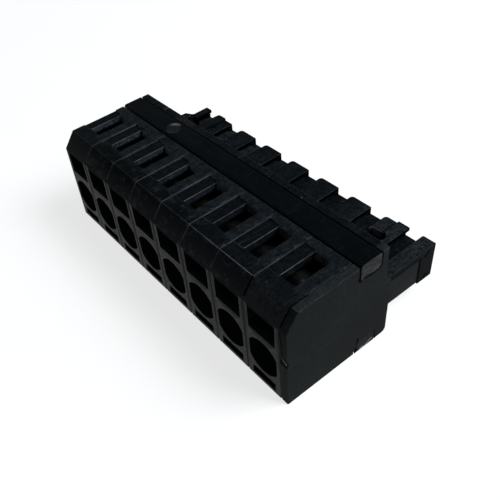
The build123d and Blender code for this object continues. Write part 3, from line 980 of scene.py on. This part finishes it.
def plug_look(middle, direction):
    """The look of a face on the plug part."""
    across = middle.x % PITCH
    # The far recess, the walls under the ribs and the inside of the plug get painted shade
    along_recess = FAR_RECESS_LEFT - 0.05 < middle.x < FAR_RECESS_RIGHT + 0.05
    if along_recess and FAR_RECESS_FRONT < middle.y < FAR_RECESS_REAR + 0.05 and middle.z > SLOT_FLOOR:
        return PAINTED_SHADE
    if middle.x > ROW_LENGTH - 0.3:
        return DULL if direction.x > 0.5 else SKIN
    under_rib = abs(direction.x) > 0.8 and 1 < across < 4.1 and SLOT_FLOOR < middle.z < 7.3
    inner_width = 0.06 < across < PITCH - 0.06
    in_plug = inner_width and 2.7 < middle.z < SLOT_FLOOR - 0.04 and middle.y < DEPTH - 0.1
    return PAINTED_SHADE if under_rib or in_plug else SKIN


def inside_openings(middle):
    """Whether a face lies deep inside a housing, where light hardly reaches."""
    across = middle.x % PITCH
    skin = 0.12 if middle.z < FRONT_HEIGHT - 0.45 else front_line(middle.z) + 0.32
    deep = skin < middle.y < COLLAR_REAR - 0.05 and 0.3 < middle.z < BLOCK_TOP - TOP_WALL - 0.02
    outside = across < 0.06 or across > PITCH - 0.06
    return deep and not outside


def recess_rim(middle):
    """Whether a place is at the rim of one of the two recesses in the plug's slots."""
    along = 33.9 < middle.x < 36.8 or 1.8 < middle.x < 3.6
    return along and abs(middle.y - NEAR_RECESS_MIDDLE[1]) < 1 and abs(middle.z - 6.9) < 0.4


def housing_wear_and_highlight(middle):
    """How much wear and painted highlight a housing's edges get: most at the pockets and in the seams on top.
    """
    across = middle.x % PITCH
    poles_along = middle.x / PITCH
    on_top = middle.z > BLOCK_TOP - 0.25
    if on_top and POCKET_FRONT < middle.y < 8.2 and abs(across - LEDGE_WIDTH) < 0.15:
        return 3.0
    if on_top and 1.7 < middle.y < 9.4 and across > PITCH - 0.12 and middle.x < ROW_LENGTH - 0.2:
        return 0.3 + middle.x / ROW_LENGTH * 0.85
    if on_top and 1.4 < middle.y < 1.7:
        return 3.0 if 5 < poles_along < 7 else 0.8 if poles_along < 5 else 0.0
    if middle.y > 11 and middle.z > 12:
        return 0.0
    if on_top and 3.2 < middle.y < 3.5 and across < 1.6:
        return 2.0
    if middle.y < 1.5 and middle.z > 11.3 and 2 < poles_along < 6.5:
        return 1.6
    if recess_rim(middle):
        return 2.4 if middle.y > 19.4 else 0.3
    if middle.y > COLLAR_REAR and abs(across - 1.48) < 0.1:
        return 1.1
    return 0.1


def plate_wear_and_highlight(middle):
    """How much wear and painted highlight the end plate's edges get: most along the outer top edge."""
    if middle.x < ROW_LENGTH + 0.3:
        return 0.1
    return 1.0 if middle.z > BLOCK_TOP - 0.25 else 0.4


# The tie bars' edge wear and painted highlight, most along the front edge by the near poles
def bar_wear_and_highlight(middle):
    return 1.0 if middle.y < 9.7 and 25 < middle.x < 36 else 0.1


def bar_look(middle, direction):
    """1 for the cut ends of a tie bar, 0 for the rest."""
    return int(abs(direction.x) > 0.8)


def end_shift(point):
    """Sink the end of the row by a hair, for the thin strips that lie on it."""
    return (-END_SINK if point.x > ROW_LENGTH + 0.9 else 0, 0, 0)


def plate_shift(point):
    """Sink the end plate's end and front by a hair, and raise the top of its tongue."""
    on_tongue = point.x < ROW_LENGTH + 0.3 and point.y > 12.5 and abs(point.z - TONGUE_TOP) < NEAR
    return (end_shift(point)[0], END_SINK if point.y < NEAR else 0, TONGUE_RISE if on_tongue else 0)


def bar_shift(point):
    """Sink the end of a tie bar by a hair, and draw the disc of the gate in."""
    away = Vector((point.x - GATE_CENTRE[0], point.y - GATE_CENTRE[1], 0))
    inwards = away * (GATE_SHARE - 1) if away.length < 1.3 and point.z > 12 else Vector()
    return Vector(end_shift(point)) + inwards


def tongue_gap_shift(point):
    """Raise the top of the gap that the tongue lies in."""
    over_tongue = point.x > ROW_LENGTH - 0.5 and point.y > 12.5 and NEAR < point.z - TONGUE_TOP < 0.12
    return (0, 0, TONGUE_RISE if over_tongue else 0)


for pole, source in enumerate(HOUSINGS):
    softened(
        source, source.replace("housing", "moulding"),
        (matt_plastic, painted_shade_plastic, dull_plastic, stained_plastic),
        corners=[(0.42, rear_corner), (0.3, slope_foot), (0.08, pocket_edge), (0.04, seam_edge)],
        look_of=housing_look, sharp=close_joint, wear_of=housing_wear_and_highlight, cuts=housing_cuts(pole * PITCH),
        kept_apart=housing_parts, shift=tongue_gap_shift, sunk=recess_floor,
    )
softened(
    "end_plate", "end_plate_moulding", (grained_plastic,),
    corners=[(0.45, plate_foot), (0.3, slope_foot)], sharp=close_joint,
    wear_of=plate_wear_and_highlight, shift=plate_shift,
)
for source in ("top_tie_bar", "bottom_tie_bar"):
    softened(
        source, source + "_moulding", (smooth_plastic, cut_plastic),
        look_of=bar_look, wear_of=bar_wear_and_highlight, shift=bar_shift,
    )
for source in SPRINGS:
    softened(source, source + "_strip", (spring_steel,), radius=STRIP_EDGE_RADIUS)
for source in CURRENT_BARS:
    softened(source, source + "_strip", (tinned_copper,), radius=STRIP_EDGE_RADIUS)


# Thin strips in the joints between the pieces
UP = Vector((0, 0, 1))
OUT = Vector((1, 0, 0))
FORWARD = Vector((0, -1, 0))
SLOPE = Vector((0, -(BLOCK_TOP - FRONT_HEIGHT), SLOPE_DEPTH)).normalized()
END_FACE = ROW_LENGTH + 0.978
PLUG_FACE = PLUG_SIDE + 0.006
FRONT_FACE = 0.004


def joint_strips(name, runs, look, thickness=0.04):
    """Thin strips of one look.

    Each run goes from one point to another on the strip's surface, and has the direction
    that the surface faces and a width."""
    form = bmesh.new()
    for start, end, facing, width in runs:
        start, end = Vector(start), Vector(end)
        side = (end - start).cross(facing).normalized() * width / 2
        rings = [
            [
                form.verts.new(place(*(point + side * share + facing * height)))
                for share, height in ((-1, 0), (1, 0), (1, -thickness), (-1, -thickness))
            ]
            for point in (start, end)
        ]
        for corner in range(4):
            after = (corner + 1) % 4
            form.faces.new((rings[0][corner], rings[0][after], rings[1][after], rings[1][corner]))
        form.faces.new(rings[0][::-1])
        form.faces.new(rings[1])
    bmesh.ops.recalc_face_normals(form, faces=form.faces)
    mesh = bpy.data.meshes.new(name)
    form.to_mesh(mesh)
    form.free()
    mesh.materials.append(look)
    piece = bpy.data.objects.new(name, mesh)
    bpy.context.scene.collection.objects.link(piece)
    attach(piece, "root")


def chain(points, facing, width):
    """Runs from each point to the next."""
    return [(start, end, facing, width) for start, end in zip(points, points[1:])]


def slope_run(seam, width):
    """A run up the front slope, from its rounded foot."""
    return ((seam, 0.22, FRONT_HEIGHT + 0.28), (seam, SLOPE_DEPTH, BLOCK_TOP + 0.006), SLOPE, width)


def on_end(width, *points):
    """Runs through points y back and z up, on the end of the row."""
    return chain([(END_FACE, y, z) for y, z in points], OUT, width)


def on_plug_side(width, *points):
    """Runs through points y back and z up, on the near side of the plug."""
    return chain([(PLUG_FACE, y, z) for y, z in points], OUT, width)


def on_front(width, *points):
    """Runs through points x along and z up, on the front of the end plate."""
    return chain([(x, FRONT_FACE, z) for x, z in points], FORWARD, width)


pole_seams = [pole * PITCH for pole in range(1, POLE_COUNT)]
SEAM_TOP = BLOCK_TOP + 0.004
FLASH_LINE = 12.39
FLASH_STEP = 14
TONGUE_LINE = TONGUE_TOP + TONGUE_RISE + 0.05
TONGUE_REAR = TONGUE_END + 0.04
joint_strips(
    "seam_flash",
    [((seam, 8.2, SEAM_TOP), (seam, 9.25, SEAM_TOP), UP, 0.15) for seam in [*pole_seams, ROW_LENGTH]]
    + [
        ((0.1, FLASH_LINE, 13.03), (FLASH_STEP, FLASH_LINE, 13.03), UP, 0.1),
        ((FLASH_STEP, FLASH_LINE, 12.9), (41.5, FLASH_LINE, 12.9), UP, 0.1),
    ],
    matt_plastic,
    thickness=0.06,
)
# Pale strips: up the slope seams partly wear and partly a painted highlight, and rubbed plastic at the nub on
# the end plate's front and low on the end
joint_strips(
    "rubbed_and_highlit_joints",
    [slope_run(seam, 0.11) for seam in pole_seams[:-1]]
    + on_front(0.16, (40.95, 7.0), (41.2, 6.8), (41.55, 6.55))
    + on_end(0.22, (10.2, 0.3), (10.8, 0.2), (11.4, 0.3), (12.0, 0.65)),
    rubbed_and_highlit_plastic,
)
joint_strips(
    "dark_joints",
    [
        slope_run(pole_seams[-1], 0.2),
        slope_run(ROW_LENGTH, 0.14),
        ((ROW_LENGTH, SLOPE_DEPTH, SEAM_TOP), (ROW_LENGTH, 3.6, SEAM_TOP), UP, 0.12),
    ]
    # The gap round the tongue, and the two curved marks on the post behind it
    + on_plug_side(
        0.15, (PLUG_FRONT, TONGUE_LINE), (TONGUE_REAR, TONGUE_LINE), (TONGUE_REAR, PLUG_BOTTOM + 0.3)
    )
    + on_plug_side(0.34, (20.40, 6.33), (20.80, 6.44), (21.14, 6.81))
    + on_plug_side(0.34, (20.8, 3.0), (21.14, 3.1), (21.22, 3.4))
    # The gap beside the nub on the front edge of the end plate
    + on_front(0.13, (40.72, 10.7), (40.9, 9.1), (41.0, 7.3), (41.3, 7.1))
    + on_front(0.12, (41.38, 6.95), (41.5, 6.85))
    # Round the end of the top tie bar: before, under and behind it
    + on_end(0.24, (9.36, 12.95), (9.4, 11.35), (9.6, 10.95))
    + on_end(0.22, (9.95, 11.18), (10.49, 11.14), (11.02, 11.05), (11.5, 11.05), (12.1, 11.1), (12.42, 11.4))
    + on_end(0.16, (12.42, 11.35), (12.38, 12.1), (12.44, 12.9))
    # The same for the bottom tie bar: before and behind it
    + on_end(0.34, (9.56, 0.06), (9.58, 0.6))
    + on_end(0.12, (9.6, 0.6), (9.75, 1.8))
    + on_end(0.26, (9.78, 1.6), (9.82, 2.2))
    + on_end(0.16, (12.55, 0.06), (12.32, 1.5)),
    painted_shade_plastic,
)


# The floor, the light and the camera
def make_floor(half_side, glow):
    """A pale floor that looks brighter than it lights, and keeps the block's shadow."""
    mesh = bpy.data.meshes.new("floor")
    corners = [(x * half_side, y * half_side, 0) for x, y in ((-1, -1), (1, -1), (1, 1), (-1, 1))]
    mesh.from_pydata(corners, [], [(0, 1, 2, 3)])
    material, tree, shader = new_material("pale_floor", (0.3, 0.3, 0.3), 0.9, level=0.0)
    rays = node(tree, "LightPath").outputs
    seen = maths(tree, "MAXIMUM", rays["Is Camera Ray"], rays["Is Glossy Ray"])
    seen = maths(tree, "MAXIMUM", seen, rays["Is Transmission Ray"])
    shader.inputs["Emission Color"].default_value = (1, 1, 1, 1)
    tree.links.new(maths(tree, "MULTIPLY", seen, glow), shader.inputs["Emission Strength"])
    mesh.materials.append(material)
    floor = bpy.data.objects.new("floor", mesh)
    bpy.context.scene.collection.objects.link(floor)


def make_lamp(name, where, size, power, colour):
    """A soft rectangular lamp that faces the block."""
    light = bpy.data.lights.new(name, "AREA")
    light.shape = "RECTANGLE"
    light.size, light.size_y = size
    light.energy = power
    light.color = colour
    lamp = bpy.data.objects.new(name, light)
    lamp.location = where
    lamp.rotation_euler = Vector(where).to_track_quat("Z", "Y").to_euler()
    bpy.context.scene.collection.objects.link(lamp)


make_floor(half_side=1.5, glow=0.74)
make_lamp("key", where=(0.30, 0.28, 0.48), size=(0.34, 0.34), power=4.6, colour=(0.96, 0.98, 1.0))
world = bpy.data.worlds.new("studio")
bpy.context.scene.world = world
world.use_nodes = True
surround = world.node_tree.nodes["Background"].inputs
surround["Color"].default_value = (0.82, 0.92, 1.0, 1)
surround["Strength"].default_value = 0.17

camera = bpy.data.cameras.new("camera")
camera.sensor_width = 36
camera.lens = 45.807
camera.shift_x = 0.10422
camera.shift_y = -0.01203
camera.clip_start = 0.001
viewer = bpy.data.objects.new("camera", camera)
viewer.location = (0.047512, -0.034453, 0.055976)
viewer.rotation_euler = [math.radians(angle) for angle in (46.84505, 6.64521, 52.96201)]
bpy.context.scene.collection.objects.link(viewer)
bpy.context.scene.camera = viewer
bpy.context.scene.view_settings.view_transform = "Standard"
